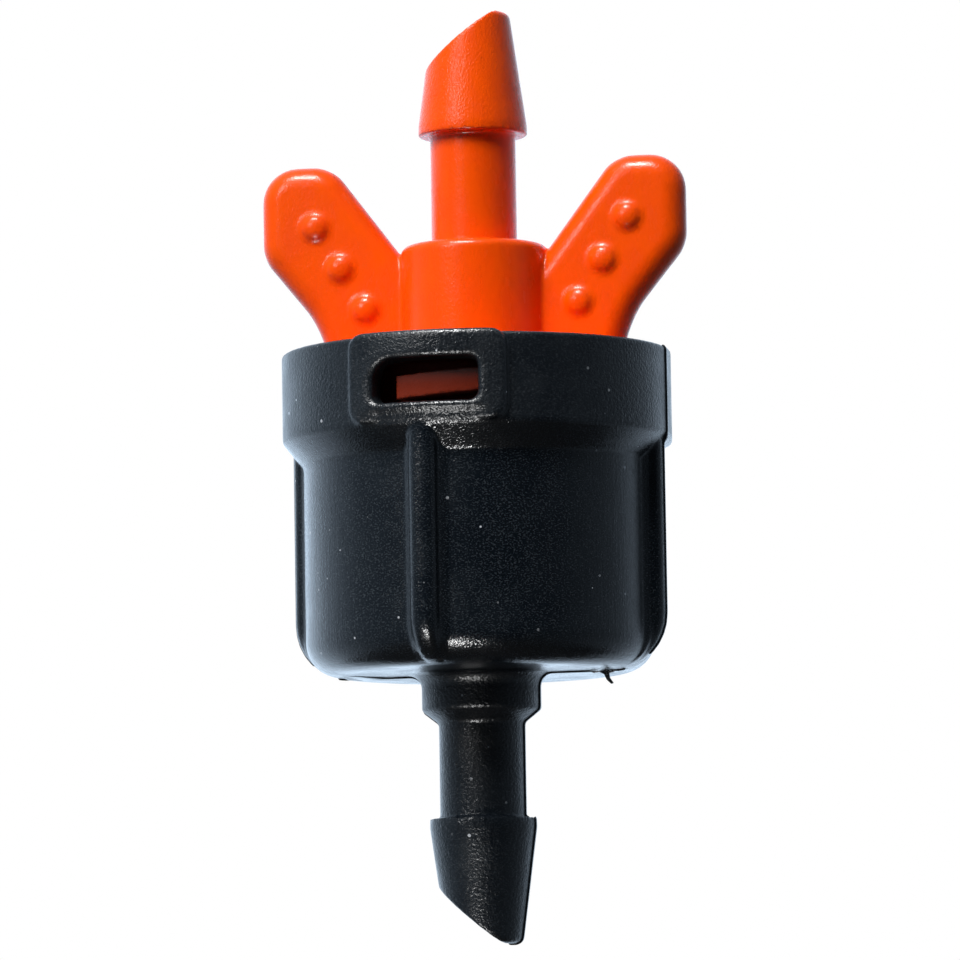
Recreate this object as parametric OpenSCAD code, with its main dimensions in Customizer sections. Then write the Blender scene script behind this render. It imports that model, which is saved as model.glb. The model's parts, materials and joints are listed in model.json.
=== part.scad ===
// In-line anti-drip emitter for 4/7 mm micro tube: a winged cap locks into a
// ribbed housing by a bayonet, over a sprung diaphragm valve.
// Z is the flow axis, with the inlet up. The origin is on the lip of the outlet barb.

/* [Hose barbs] */
// Diameter over the lip of the outlet barb
outlet_lip_d = 5.45; // [5:0.05:6]
// Diameter of the outlet barb's cone at its nose
outlet_nose_d = 3.85; // [3.6:0.05:4.4]
// Angle of the outlet barb's oblique cut from the level
outlet_cut_angle = 40; // [25:1:48]
// Diameter over the lip of the inlet barb
inlet_lip_d = 5.6; // [5:0.05:6]
// Diameter of the inlet barb's cone at its nose
inlet_nose_d = 3.95; // [3.6:0.05:4.4]
// Angle of the inlet barb's oblique cut from the level
inlet_cut_angle = 38; // [25:1:48]
// Length of a barb from its lip to its nose
barb_len = 6.4; // [5.6:0.1:8]
// Width of the straight land on the lip
barb_land = 0.5; // [0.3:0.1:1]
// Distance from the lip to the near end of an oblique cut
barb_cut_start = 3.4; // [2.6:0.1:4.2]
// Diameter of the shank behind a barb
shank_d = 4.4; // [4.0:0.05:4.8]
// Length of the outlet shank
outlet_shank_len = 4.9; // [4:0.1:8]
// Length of the inlet shank
inlet_shank_len = 5.7; // [4.5:0.1:9]
// Diameter of the flow bore through a barb
flow_d = 2.5; // [1.8:0.1:2.7]

/* [Housing] */
// Diameter of the neck under the body
neck_d = 6.1; // [5.8:0.1:7.5]
// Length of the neck
neck_len = 1.85; // [1.4:0.05:3]
// Height of the cone between the outlet shank and the neck
neck_cone_h = 0.65; // [0.4:0.05:1.2]
// Radius of the fillet between the neck and the floor
neck_fillet_r = 0.7; // [0.3:0.1:1.0]
// Diameter of the body
body_d = 17.9; // [17.5:0.1:18.4]
// Height of the body from its floor to the chamfer under the collar
body_h = 10.7; // [10:0.1:14]
// Radius round the foot of the body
body_foot_r = 1.7; // [1:0.1:2]
// Height of the chamfer under the collar
collar_chamfer_h = 1.3; // [1:0.1:2]
// Diameter of the collar
collar_d = 20; // [19.8:0.1:21.5]
// Height of the collar's straight wall
collar_h = 4.5; // [4.3:0.1:6]
// Thickness of the floor
floor_t = 1.2; // [0.9:0.1:2]
// Diameter of the spring chamber
chamber_d = 14.8; // [14.4:0.1:15.2]
// Number of ribs on the body
rib_count = 4; // [4:4:8]
// Diameter over the ribs
rib_d = 19.6; // [19:0.1:19.8]
// Width of a rib
rib_w = 1.45; // [1.2:0.05:2.2]
// Radius at the foot of a rib
rib_foot_r = 2.8; // [2.4:0.1:3.4]
// Radius on the long edges of a rib
rib_edge_r = 0.4; // [0.2:0.05:0.55]

/* [Bayonet] */
// Bore of the collar, which the cap's plug turns in
collar_bore_d = 17.2; // [17:0.1:17.4]
// Depth of the bayonet groove behind the collar's bore
groove_depth = 0.7; // [0.5:0.05:0.8]
// Height of the groove
groove_h = 2.1; // [2:0.05:2.2]
// Height of the collar's bore above the groove, which holds the lugs down
hold_h = 1.35; // [1:0.05:1.6]
// Width of a window
window_w = 5.65; // [4:0.05:7]
// Height of a window
window_h = 2.3; // [2.25:0.05:2.6]
// Radius in the corners of a window
window_corner_r = 0.75; // [0.2:0.05:0.9]
// Width of the raised frame round a window
frame_w = 8.45; // [7.8:0.05:10]
// Height of that frame
frame_h = 4.5; // [4.2:0.1:4.6]
// Distance that the frame stands out from the collar
frame_proud = 0.35; // [0.2:0.05:0.6]
// Distance that the frame stands above the collar's rim
frame_rise = 0.15; // [0:0.05:0.4]
// Radius at the corners of the frame
frame_corner_r = 0.75; // [0.3:0.05:1.2]
// Arc that a lug covers
lug_arc = 50; // [40:1:54]
// Angle from the middle of the window to the near end of a locked lug
lug_lead = 10.8; // [8:0.1:15]
// Thickness of a lug
lug_t = 1.15; // [0.8:0.05:1.3]
// Pitch angle of a lug's ramp
lug_ramp = 4.4; // [3:0.1:5]
// Turn between locked and free to lift
unlock_turn = 65; // [62:1:68]
// Angle that the slot is wider than a lug at each end
slot_margin = 2; // [1:0.5:3]
// Running gap of the plug and its lugs
bayonet_gap = 0.1; // [0.05:0.01:0.15]

/* [Cap] */
// Diameter of the hub
hub_d = 7.6; // [7.2:0.1:8.4]
// Height of the hub above the plug
hub_h = 5.9; // [5:0.1:8]
// Radius round the top of the hub
hub_edge_r = 0.45; // [0.2:0.05:0.8]
// Thickness of the top of the hub
hub_top_t = 1.2; // [0.8:0.1:2]
// Wall of the hub
hub_wall = 1.4; // [1.1:0.1:1.8]
// Distance from the collar's rim down to the top of the plug
plug_below_rim = 0.3; // [0.1:0.05:0.5]
// Thickness of the plug's top
plug_top_t = 1; // [0.8:0.05:1.1]
// Distance from the groove down to the foot of the skirt
skirt_drop = 0.6; // [0.3:0.05:0.9]
// Width of the skirt that clamps the diaphragm
skirt_w = 1.6; // [1.3:0.1:1.8]
// Turn of the locked wings from the line square to the windows
wing_turn = 5.5; // [0:0.5:10]
// Span over both wings
wing_span = 22.1; // [20.5:0.1:26]
// Thickness of a wing
wing_t = 2.3; // [2:0.1:2.8]
// Height of a wing's top above the hub
wing_rise = 4.4; // [3.5:0.1:7]
// Radius on the edges of a wing
wing_edge_r = 0.9; // [0.4:0.05:0.95]
// Radius of the two top corners of a wing
wing_top_corner_r = 1.85; // [1.2:0.05:2]
// Radius of the lower outer corner of a wing
wing_low_corner_r = 1.9; // [1.2:0.05:2.4]
// Lean of a wing's inner edge from the axis
wing_inner_lean = 36.9; // [33:0.1:38]
// Lean of a wing's lower edge from the axis
wing_lower_lean = 39; // [36:0.5:41]
// Distance from the hub's top down to where the inner edge meets the hub
wing_inner_drop = 0.4; // [0.2:0.05:0.8]
// Distance from the axis to a wing's foot
wing_foot_x = 7.62; // [7:0.01:7.8]
// Radius of the hollow above a wing's foot
wing_foot_r = 5.5; // [4.5:0.1:6]
// Depth of a wing's foot in the plug
wing_root_depth = 0.6; // [0.3:0.05:0.7]
// Number of grip bumps in a row
bump_count = 3; // [1:1:3]
// Diameter of a grip bump
bump_d = 1.36; // [1:0.02:1.6]
// Height of a grip bump
bump_h = 0.4; // [0.3:0.05:0.5]
// Distance between grip bumps
bump_pitch = 2.52; // [2:0.02:2.6]
// Lean of the row of bumps from the axis
bump_lean = 31; // [30:0.1:35]
// Distance from the hub to the lowest bump
bump_from_hub = 1.75; // [1.5:0.05:2.1]
// Distance from the plug up to the lowest bump
bump_from_plug = 2.7; // [2.4:0.05:3]

/* [Valve] */
// Diameter of the piston's stem
stem_d = 4.4; // [4.2:0.05:4.6]
// Diameter of the bore through the stem
stem_bore_d = 2.4; // [2:0.05:2.6]
// Running gap between the stem and its guide
stem_gap = 0.08; // [0.04:0.01:0.1]
// Wall of the guide tube
guide_wall = 0.95; // [0.7:0.05:1.1]
// Depth of the guide in the neck
guide_sink = 0.4; // [0.2:0.05:0.8]
// Travel of the piston
stroke = 1.2; // [0.8:0.1:1.4]
// Clearance left at the end of the travel
stroke_clearance = 0.3; // [0.2:0.05:0.5]
// Diameter of the piston's head
head_d = 10; // [9.4:0.1:10.4]
// Distance from the ledge under the diaphragm's rim down to the head
head_drop = 0.4; // [0.3:0.05:0.6]
// Thickness of the piston's head
head_t = 1; // [0.8:0.1:1.4]
// Width of the sealing lip at its top
seal_lip_w = 0.35; // [0.25:0.05:0.5]
// Height of the sealing lip above the clamp ring
seal_lip_h = 0.4; // [0.3:0.05:0.6]
// Depth of the groove for the piston's ring seal
ring_groove_depth = 0.5; // [0.4:0.05:0.55]
// Height of that groove
ring_groove_h = 0.8; // [0.65:0.05:1.2]
// Distance from the stem's foot to the groove
ring_groove_up = 0.7; // [0.5:0.1:2]
// Gap beside the diaphragm's loop
loop_gap = 0.3; // [0.2:0.05:0.35]
// Thickness of the diaphragm's web
web_t = 0.5; // [0.4:0.05:0.6]
// Thickness of the diaphragm on the piston's head
diaphragm_hub_t = 0.8; // [0.6:0.05:1]
// Height of the diaphragm's rim
diaphragm_rim_h = 1.2; // [1:0.05:1.4]
// Thickness of the clamp ring
clamp_t = 0.8; // [0.6:0.05:1]
// Diameter of the clamp ring
clamp_d = 9.6; // [8.8:0.1:10]
// Number of ports in the seat
port_count = 6; // [3:1:8]
// Diameter of a port
port_d = 1; // [0.6:0.1:1.2]
// Distance from the axis to a port
port_r = 4; // [3.8:0.1:4.5]
// Thickness of the seat
seat_t = 1.4; // [1.2:0.1:1.5]
// Diameter of the soft seal in the seat
seal_d = 5.2; // [4.6:0.1:5.4]
// Thickness of the soft seal
seal_t = 0.9; // [0.7:0.05:1.0]
// Depth of the seal's pocket in the seat
seal_pocket = 0.5; // [0.3:0.05:0.6]
// Seating gap between pieces that are pressed or laid together
seat_gap = 0.02; // [0.01:0.01:0.04]
// Width of the vent beside the diaphragm
vent_w = 0.8; // [0.5:0.05:1]
// Depth of the vent in the wall of the collar's bore
vent_depth = 0.3; // [0.2:0.05:0.4]

/* [Spring] */
// Diameter of the spring's wire
wire_d = 0.8; // [0.6:0.05:0.9]
// Mean diameter of the spring
spring_d = 8.4; // [8.2:0.1:8.6]
// Turns between the closed ends
spring_turns = 5; // [4:1:6]

/* [Hidden] */
$fn = 96;
eps = 0.01;

black = [0.11, 0.12, 0.14];
orange = [0.98, 0.33, 0.05];
natural = [0.93, 0.91, 0.84];
seal_grey = [0.25, 0.26, 0.28];
silicone = [0.78, 0.22, 0.16];
steel = [0.72, 0.73, 0.75];

// Radii
outlet_lip_r = outlet_lip_d / 2;
outlet_nose_r = outlet_nose_d / 2;
inlet_lip_r = inlet_lip_d / 2;
inlet_nose_r = inlet_nose_d / 2;
shank_r = shank_d / 2;
flow_r = flow_d / 2;
neck_r = neck_d / 2;
body_r = body_d / 2;
collar_r = collar_d / 2;
rib_r = rib_d / 2;
frame_r = collar_r + frame_proud;
chamber_r = chamber_d / 2;
bore_r = collar_bore_d / 2;
groove_r = bore_r + groove_depth;
plug_r = bore_r - bayonet_gap;
lug_r = groove_r - bayonet_gap;
skirt_r = plug_r - skirt_w;
hub_r = hub_d / 2;
hub_bore_r = hub_r - hub_wall;
stem_r = stem_d / 2;
stem_bore_r = stem_bore_d / 2;
guide_r = stem_r + stem_gap;
head_r = head_d / 2;
seal_r = seal_d / 2;
wire_r = wire_d / 2;

// Heights of the housing, from the outlet lip up
neck_z = outlet_shank_len + neck_cone_h;
body_z = neck_z + neck_len;
chamber_z = body_z + floor_t;
guide_z = body_z - guide_sink;
chamfer_z = body_z + body_h;
collar_z = chamfer_z + collar_chamfer_h;
rim_z = collar_z + collar_h;
groove_top_z = rim_z - hold_h;
groove_z = groove_top_z - groove_h;

// Heights of the valve: the skirt holds the diaphragm's rim on a ledge in the housing
skirt_z = groove_z - skirt_drop;
ledge_z = skirt_z - diaphragm_rim_h - 2 * seat_gap;
head_top_z = ledge_z - head_drop;
head_z = head_top_z - head_t;
clamp_z = head_top_z + diaphragm_hub_t + 2 * seat_gap;
clamp_top_z = clamp_z + clamp_t;
seal_z = clamp_top_z + seal_lip_h + seat_gap;
seat_z = seal_z + seal_t - seal_pocket;
seat_top_z = seat_z + seat_t;
guide_top_z = head_z - stroke - stroke_clearance;
stem_foot_z = guide_z + stroke + stroke_clearance;
ring_groove_z = stem_foot_z + ring_groove_up;

// Heights of the cap
plug_z = rim_z - plug_below_rim;
hub_z = plug_z + hub_h;
inlet_z = hub_z + inlet_shank_len;

// Angles of the bayonet, from the front (-Y) round towards +X
lug_from = -lug_lead;
lug_to = lug_from + lug_arc;
slot_from = lug_from + unlock_turn - slot_margin;
slot_to = lug_to + unlock_turn + slot_margin;
window_half_angle = asin(window_w / 2 / groove_r);

// Points of an arc of radius r round c, from angle a to angle b
function arc(c, r, a, b, steps) =
    [for (i = [0:steps]) let (t = a + (b - a) * i / steps) c + r * [cos(t), sin(t)]];

// Turns a profile about Z through the angles from a to b
module sector(a, b) {
    rotate([0, 0, a - 90]) rotate_extrude(angle = b - a) children();
}

// A rounded rectangle that stands at the front, its middle at height z
module front_panel(z, w, h, r, depth) {
    translate([0, 0, z]) rotate([90, 0, 0]) linear_extrude(depth) polygon(concat(
        arc([w / 2 - r, r - h / 2], r, -90, 0, 6),
        arc([w / 2 - r, h / 2 - r], r, 0, 90, 6),
        arc([r - w / 2, h / 2 - r], r, 90, 180, 6),
        arc([r - w / 2, r - h / 2], r, 180, 270, 6)));
}

// What the oblique cut takes off a barb that points up, with its lip at z = 0
module barb_cut(lip_r, nose_r, angle) {
    start = (barb_cut_start - barb_land) / (barb_len - barb_land);
    translate([(lip_r - nose_r) * start - lip_r, 0, barb_cut_start]) rotate([0, -angle, 0])
        translate([-barb_len, -barb_len, 0]) cube(2 * barb_len);
}

module housing() {
    color(black) difference() {
        union() {
            housing_shell();
            for (i = [0:rib_count - 1]) rotate([0, 0, i * 360 / rib_count]) rib();
            for (side = [0, 180]) rotate([0, 0, side]) window_frame();
        }
        mirror([0, 0, 1]) barb_cut(outlet_lip_r, outlet_nose_r, outlet_cut_angle);
        for (side = [0, 180]) rotate([0, 0, side]) {
            bayonet_cut();
            window_cut();
            vent_cut();
        }
    }
}

// Everything of the housing that is turned about the axis
module housing_shell() {
    rotate_extrude() polygon(concat(
        [[flow_r, -barb_len], [outlet_nose_r, -barb_len], [outlet_lip_r, -barb_land],
         [outlet_lip_r, 0], [shank_r, 0], [shank_r, outlet_shank_len], [neck_r, neck_z]],
        arc([neck_r + neck_fillet_r, body_z - neck_fillet_r], neck_fillet_r, 180, 90, 6),
        arc([body_r - body_foot_r, body_z + body_foot_r], body_foot_r, -90, 0, 8),
        [[body_r, chamfer_z], [collar_r, collar_z], [collar_r, rim_z],
         [bore_r, rim_z], [bore_r, ledge_z], [chamber_r, ledge_z],
         [chamber_r, chamber_z], [guide_r + guide_wall, chamber_z], [guide_r + guide_wall, guide_top_z],
         [guide_r, guide_top_z], [guide_r, guide_z], [flow_r, guide_z]]));
}

// A rib up the side at +X, curved in at its foot and rounded along its edges
module rib() {
    wall_x = (chamber_r + body_r) / 2;
    collar_wall_x = (bore_r + body_r) / 2;
    step_z = body_z + body_h / 2;
    foot = [rib_r - rib_foot_r, body_z + rib_foot_r];
    foot_angle = acos((wall_x - foot[0]) / rib_foot_r);
    top_z = (collar_z + groove_z) / 2;
    intersection() {
        rotate([90, 0, 0]) linear_extrude(rib_w, center = true) polygon(concat(
            arc(foot, rib_foot_r, -foot_angle, 0, 8),
            [[rib_r, top_z], [collar_wall_x, top_z], [collar_wall_x, step_z], [wall_x, step_z]]));
        translate([0, 0, body_z]) linear_extrude(rim_z - body_z) polygon(concat(
            [[0, -rib_w / 2]],
            arc([rib_r - rib_edge_r, rib_edge_r - rib_w / 2], rib_edge_r, -90, 0, 4),
            arc([rib_r - rib_edge_r, rib_w / 2 - rib_edge_r], rib_edge_r, 0, 90, 4),
            [[0, rib_w / 2]]));
    }
}

// The raised frame round the window at the front
module window_frame() {
    intersection() {
        front_panel(rim_z + frame_rise - frame_h / 2, frame_w, frame_h, frame_corner_r, collar_d);
        translate([0, 0, chamfer_z]) rotate_extrude() translate([bore_r, 0])
            square([frame_r - bore_r, 2 * frame_h]);
    }
}

module window_cut() {
    translate([0, -chamber_r, 0])
        front_panel(groove_z + groove_h / 2, window_w, window_h, window_corner_r, collar_r);
}

// The groove that a lug runs in, and the slot that lets it in from the rim
module bayonet_cut() {
    slot_r = (lug_r + groove_r) / 2;
    sector(-window_half_angle, slot_to + slot_margin) translate([chamber_r, groove_z])
        square([groove_r - chamber_r, groove_h]);
    sector(slot_from, slot_to) translate([chamber_r, groove_z + groove_h / 2])
        square([slot_r - chamber_r, groove_h / 2 + hold_h + eps]);
}

// The way for air from the spring chamber, past the diaphragm's rim, into the groove
module vent_cut() {
    depth = bore_r + vent_depth - chamber_r;
    translate([-vent_w / 2, -chamber_r - depth, ledge_z - vent_w])
        cube([vent_w, depth + vent_w, groove_z - ledge_z + vent_w + eps]);
}

module cap() {
    color(orange) {
        difference() {
            cap_shell();
            rotate([0, 0, wing_turn]) translate([0, 0, inlet_z])
                barb_cut(inlet_lip_r, inlet_nose_r, inlet_cut_angle);
        }
        for (side = [0, 180]) rotate([0, 0, side]) {
            lug();
            rotate([0, 0, wing_turn]) {
                wing();
                bumps();
            }
        }
    }
}

// Plug, skirt, hub, shank and barb, turned about the axis
module cap_shell() {
    manifold_r = port_r + port_d;
    manifold_z = plug_z - plug_top_t;
    hub_top_z = hub_z - hub_top_t;
    rotate_extrude() polygon(concat(
        [[skirt_r, skirt_z], [plug_r, skirt_z], [plug_r, plug_z], [hub_r, plug_z]],
        arc([hub_r - hub_edge_r, hub_z - hub_edge_r], hub_edge_r, 0, 90, 6),
        [[shank_r, hub_z], [shank_r, inlet_z], [inlet_lip_r, inlet_z],
         [inlet_lip_r, inlet_z + barb_land], [inlet_nose_r, inlet_z + barb_len],
         [flow_r, inlet_z + barb_len], [flow_r, hub_top_z], [hub_bore_r, hub_top_z],
         [hub_bore_r, manifold_z], [manifold_r, manifold_z],
         [manifold_r, seat_top_z], [skirt_r, seat_top_z]]));
}

// A ramp that runs in the groove: its high end bears up under the collar
module lug() {
    middle_z = groove_top_z - seat_gap - lug_t / 2 / cos(lug_ramp)
        - lug_r * sin(lug_arc / 2) * tan(lug_ramp);
    intersection() {
        sector(lug_from, lug_to) translate([(skirt_r + plug_r) / 2, groove_z])
            square([lug_r - (skirt_r + plug_r) / 2, groove_h]);
        rotate([0, 0, (lug_from + lug_to) / 2 - 90]) translate([0, 0, middle_z])
            rotate([lug_ramp, 0, 0]) cube([collar_d, collar_d, lug_t], center = true);
    }
}

// Outline of a wing that stands along +X, drawn in by d along every edge that shows
function wing_outline(d) = let (
    half = wing_span / 2,
    root = [hub_r - hub_wall / 2, plug_z - wing_root_depth],
    diagonal = [wing_foot_x + wing_foot_r * (1 - cos(wing_lower_lean)),
                root[1] + wing_foot_r * sin(wing_lower_lean)],
    low_x = half - wing_low_corner_r,
    low_z = diagonal[1] + (low_x + wing_low_corner_r / cos(wing_lower_lean) - diagonal[0])
        / tan(wing_lower_lean),
    top_z = hub_z + wing_rise - wing_top_corner_r,
    inner_z = hub_z - wing_inner_drop,
    inner_x = hub_r + (top_z - inner_z) * tan(wing_inner_lean)
        + wing_top_corner_r / cos(wing_inner_lean),
    root_top_z = inner_z - (hub_r - root[0]) / tan(wing_inner_lean) - d / sin(wing_inner_lean))
    concat(
        [root],
        arc([wing_foot_x + wing_foot_r, root[1]], wing_foot_r + d, 180, 180 - wing_lower_lean, 6),
        arc([low_x, low_z], wing_low_corner_r - d, -wing_lower_lean, 0, 5),
        arc([half - wing_top_corner_r, top_z], wing_top_corner_r - d, 0, 90, 8),
        arc([inner_x, top_z], wing_top_corner_r - d, 90, 180 - wing_inner_lean, 5),
        [[root[0], root_top_z]]);

// That wing, its outline lofted across its thickness with round edges
module wing() {
    edge_steps = 4;
    flat = wing_t / 2 - wing_edge_r;
    levels = [for (side = [-1, 1], i = [0:edge_steps])
        let (t = 90 * (side < 0 ? i - edge_steps : i) / edge_steps)
        [side * flat + wing_edge_r * sin(t), wing_edge_r * (1 - cos(t))]];
    loops = [for (level = levels) wing_outline(level[1])];
    n = len(loops[0]);
    last = len(levels) - 1;
    points = [for (k = [0:last], p = loops[k]) [p[0], levels[k][0], p[1]]];
    sides = [for (k = [0:last - 1], i = [0:n - 1], half = [0, 1])
        let (j = (i + 1) % n, a = k * n, b = a + n)
        half == 0 ? [a + i, a + j, b + j] : [a + i, b + j, b + i]];
    polyhedron(points, concat([[for (i = [0:n - 1]) n - 1 - i]], sides,
        [[for (i = [0:n - 1]) last * n + i]]));
}

// A row of domed grip bumps on each face of that wing
module bumps() {
    dome_r = (pow(bump_d / 2, 2) + pow(bump_h, 2)) / 2 / bump_h;
    for (face = [-1, 1], i = [0:bump_count - 1])
        translate([hub_r + bump_from_hub + i * bump_pitch * sin(bump_lean),
                   face * (wing_t / 2 + bump_h - dome_r),
                   plug_z + bump_from_plug + i * bump_pitch * cos(bump_lean)])
            sphere(dome_r, $fn = 48);
}

module seat_insert() {
    color(natural) translate([0, 0, seat_z]) difference() {
        cylinder(r = skirt_r - seat_gap, h = seat_t - seat_gap);
        translate([0, 0, -eps]) cylinder(r = seal_r + seat_gap, h = seal_pocket + seat_gap + eps);
        for (i = [0:port_count - 1]) rotate([0, 0, i * 360 / port_count])
            translate([port_r, 0, -eps]) cylinder(d = port_d, h = seat_t + 2 * eps, $fn = 32);
    }
}

module seat_seal() {
    color(seal_grey) translate([0, 0, seal_z]) cylinder(r = seal_r, h = seal_t);
}

// A clamped rim and a hub, joined by a thin loop that rolls as the piston moves
module diaphragm() {
    inner_r = head_r + loop_gap;
    outer_r = chamber_r - loop_gap;
    rim_z0 = ledge_z + seat_gap;
    hub_z0 = head_top_z + seat_gap;
    loop_r = (outer_r - inner_r) / 2;
    color(silicone) rotate_extrude() {
        translate([stem_r + seat_gap, hub_z0])
            square([inner_r + web_t - stem_r - seat_gap, diaphragm_hub_t]);
        translate([outer_r - web_t, rim_z0])
            square([bore_r - seat_gap - outer_r + web_t, diaphragm_rim_h]);
        intersection() {
            translate([inner_r + loop_r, rim_z0]) difference() {
                circle(loop_r);
                circle(loop_r - web_t);
            }
            translate([inner_r, rim_z0 - 2 * loop_r]) square(2 * loop_r);
        }
    }
}

module clamp_ring() {
    color(natural) translate([0, 0, clamp_z]) difference() {
        cylinder(d = clamp_d, h = clamp_t);
        translate([0, 0, -eps]) cylinder(r = stem_r + seat_gap, h = clamp_t + 2 * eps);
    }
}

// The hollow stem, its head and the lip that shuts against the seat
module piston() {
    groove_floor_r = stem_r - ring_groove_depth;
    lip_top_z = clamp_top_z + seal_lip_h;
    color(natural) rotate_extrude() polygon([
        [stem_bore_r, stem_foot_z], [stem_r, stem_foot_z],
        [stem_r, ring_groove_z], [groove_floor_r, ring_groove_z],
        [groove_floor_r, ring_groove_z + ring_groove_h], [stem_r, ring_groove_z + ring_groove_h],
        [stem_r, head_z], [head_r, head_z], [head_r, head_top_z], [stem_r, head_top_z],
        [stem_r, clamp_top_z], [stem_bore_r + seal_lip_w, lip_top_z], [stem_bore_r, lip_top_z]]);
}

module piston_o_ring() {
    groove_floor_r = stem_r - ring_groove_depth;
    color(seal_grey) translate([0, 0, ring_groove_z + ring_groove_h / 2]) rotate_extrude()
        translate([(guide_r + groove_floor_r) / 2, 0])
            circle((guide_r - groove_floor_r) / 2 - seat_gap, $fn = 32);
}

// Height of the wire's middle after t turns: close turns at both ends, even pitch between
function wire_z(t) = let (
    closed = wire_d * 1.1,
    turns = spring_turns + 2,
    low = chamber_z + seat_gap + wire_r,
    high = head_z - seat_gap - wire_r,
    pitch = (high - low - 2 * closed) / spring_turns)
    t < 1 ? low + closed * t
    : t > turns - 1 ? high - closed * (turns - t)
    : low + closed + pitch * (t - 1);

module return_spring() {
    steps = 20;
    sides = 8;
    rings = steps * (spring_turns + 2);
    points = [for (i = [0:rings], j = [0:sides - 1])
        let (a = 360 * i / steps, u = 360 * j / sides, r = spring_d / 2 + wire_r * cos(u))
        [r * cos(a), r * sin(a), wire_z(i / steps) + wire_r * sin(u)]];
    walls = [for (i = [0:rings - 1], j = [0:sides - 1], half = [0, 1])
        let (k = (j + 1) % sides, a = i * sides, b = a + sides)
        half == 0 ? [a + j, a + k, b + k] : [a + j, b + k, b + j]];
    color(steel) polyhedron(points, concat([[for (j = [0:sides - 1]) sides - 1 - j]], walls,
        [[for (j = [0:sides - 1]) rings * sides + j]]));
}

housing();
cap();
seat_insert();
seat_seal();
diaphragm();
clamp_ring();
piston();
piston_o_ring();
return_spring();
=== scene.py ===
# %% [markdown]
# # An in-line drip emitter, from its sizes to its finish
#
# The emitter sits in a thin watering tube and closes when the pressure drops, so that the
# tube doesn't drain. A black housing and an orange winged cap snap together by a bayonet,
# and both end in a barb for a tube with a 4 mm bore. The CAD model holds the sizes. This
# lesson makes the two moulded parts again with the soft edges that a mould leaves, gives
# each piece a finish, and lights the whole like a catalogue picture.

# %% Open the CAD model
import json
import bmesh
import bpy
from math import asin, cos, pi, radians, sin, tan
from mathutils import Matrix, Vector

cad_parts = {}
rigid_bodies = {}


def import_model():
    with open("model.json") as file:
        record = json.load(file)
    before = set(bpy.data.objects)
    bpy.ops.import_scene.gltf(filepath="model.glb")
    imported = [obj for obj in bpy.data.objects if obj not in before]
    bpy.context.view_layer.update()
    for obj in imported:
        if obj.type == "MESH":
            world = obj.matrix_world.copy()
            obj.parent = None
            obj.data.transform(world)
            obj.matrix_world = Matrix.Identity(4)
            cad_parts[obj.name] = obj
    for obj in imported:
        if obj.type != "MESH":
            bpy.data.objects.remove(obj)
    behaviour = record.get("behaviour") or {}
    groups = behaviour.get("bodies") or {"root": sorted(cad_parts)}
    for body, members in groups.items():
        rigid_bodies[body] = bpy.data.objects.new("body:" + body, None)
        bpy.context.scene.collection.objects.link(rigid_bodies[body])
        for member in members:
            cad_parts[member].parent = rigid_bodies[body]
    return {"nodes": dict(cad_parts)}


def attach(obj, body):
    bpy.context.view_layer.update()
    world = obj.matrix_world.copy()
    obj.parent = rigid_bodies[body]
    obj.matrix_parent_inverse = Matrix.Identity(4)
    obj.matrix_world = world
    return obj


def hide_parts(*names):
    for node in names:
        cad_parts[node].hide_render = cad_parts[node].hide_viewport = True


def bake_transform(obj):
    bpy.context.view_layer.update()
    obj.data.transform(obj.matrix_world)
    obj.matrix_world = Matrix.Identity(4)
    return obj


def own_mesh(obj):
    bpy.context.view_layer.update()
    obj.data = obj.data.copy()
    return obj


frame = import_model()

scene = bpy.context.scene
scene.view_settings.view_transform = "Standard"
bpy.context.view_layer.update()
print("nodes:", ", ".join(sorted(frame["nodes"])))

# %% [markdown]
# ## The camera
#
# A product picture is taken from far off with a long lens, so that upright edges stay
# nearly upright. The emitter hangs at the level of the lens or a little above it. A camera
# can be aimed with a Track To constraint, but one matrix is simpler: turn to the side, tip
# up, roll a touch, and step back along the line of sight.

# %% Camera
camera_side = radians(15.3)
camera_tip = radians(5.8)
camera_roll = radians(-0.9)
camera_distance = 0.356
camera_target = Vector((0.0001, 0, 0.0174))

camera = bpy.data.objects.new("camera", bpy.data.cameras.new("camera"))
scene.collection.objects.link(camera)
camera.data.sensor_width = 36
camera.data.lens = 260
aim = (Matrix.Rotation(camera_side, 4, "Z") @ Matrix.Rotation(pi / 2 + camera_tip, 4, "X")
       @ Matrix.Rotation(camera_roll, 4, "Z"))
camera.matrix_world = (Matrix.Translation(camera_target) @ aim
                       @ Matrix.Translation((0, 0, camera_distance)))
scene.camera = camera
print("camera at, in mm:", [round(1000 * c) for c in camera.matrix_world.translation])

# %% [markdown]
# ## Tools for turned and flat shapes
#
# Most of this emitter is round, because its moulds are turned. A turned shape is drawn as
# half a section and spun about the axis, as clay is on a wheel. The rest are flat shapes,
# cut from an outline and given a thickness. Both start from the same kind of outline, so
# one helper draws it, and rounds each corner that has a radius by a bevel of the corner's
# own vertex. All shapes are drawn in millimetres and shrunk to metres when they are done.


# %% Outline, turned and flat shapes
def outline(points):
    """A closed wire in the XZ plane from points (x, z) or (x, z, corner radius)."""
    bm = bmesh.new()
    corners = [bm.verts.new((p[0], 0, p[1])) for p in points]
    for a, b in zip(corners, corners[1:] + corners[:1]):
        bm.edges.new((a, b))
    for corner, point in zip(corners, points):
        if len(point) == 3:
            one, two = (e.other_vert(corner).co - corner.co for e in corner.link_edges)
            bmesh.ops.bevel(bm, geom=[corner], offset=point[2] / tan(one.angle(two) / 2),
                            offset_type="OFFSET", affect="VERTICES", segments=8,
                            profile=0.5, material=-1)
    return bm


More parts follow.
